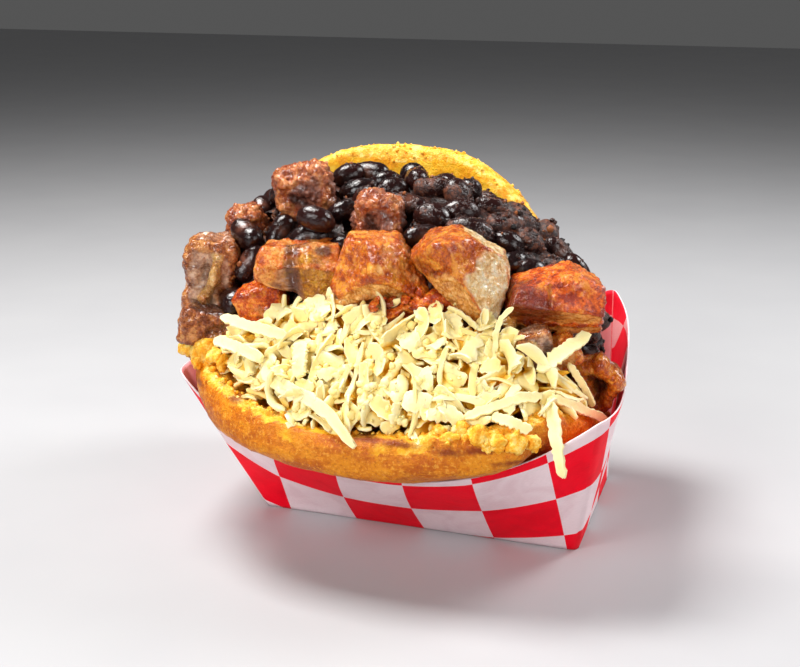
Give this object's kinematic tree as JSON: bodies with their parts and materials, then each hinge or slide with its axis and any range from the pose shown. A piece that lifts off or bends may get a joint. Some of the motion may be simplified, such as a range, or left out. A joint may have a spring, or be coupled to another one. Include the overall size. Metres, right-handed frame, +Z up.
{
  "type": "stuffed arepa corn cake",
  "caption": "Split corn cake stuffed with black beans, browned pork and beef chunks and grated white cheese, standing open in a checked paper food boat.",
  "frame": {"origin": "middle of the paper boat's flat base, on the surface it stands on", "axes": "+Z up, +X along the boat towards its right end, +Y towards the back, where the cake's upper half stands"},
  "size_m": [0.1389, 0.125, 0.1058],
  "materials": {
    "paper_print": "thin greaseproof paper printed outside with red and pinkish white checks, semi-matt, the print showing faintly through inside",
    "corn_dough": "golden baked corn dough, grainy, with brown scorch marks on the crust",
    "white_cheese": "pale cream grated cheese, soft sheen",
    "black_beans": "near black beans with a purplish brown skin, glossy, partly coated in reddish brown mash",
    "browned_pork": "roast pork with orange brown crust and tan flesh, moist gloss",
    "stewed_beef": "dark reddish brown stewed beef with orange bits, moist"
  },
  "bodies": {
    "root": {"paper_tray": "paper_print", "arepa": "corn_dough", "cheese_heap": "white_cheese", "bean_heap": "black_beans", "pork_big": "browned_pork", "pork_pale": "browned_pork", "pork_crisp": "browned_pork", "pork_step": "browned_pork", "pork_left": "browned_pork", "pork_low": "browned_pork", "pork_nub": "browned_pork", "pork_scrap": "browned_pork", "pork_grey": "browned_pork", "pork_small": "browned_pork", "pork_curl": "browned_pork", "crackling": "browned_pork", "beef_top": "stewed_beef", "beef_mid": "stewed_beef", "beef_side": "stewed_beef"}
  },
  "joints": []
}
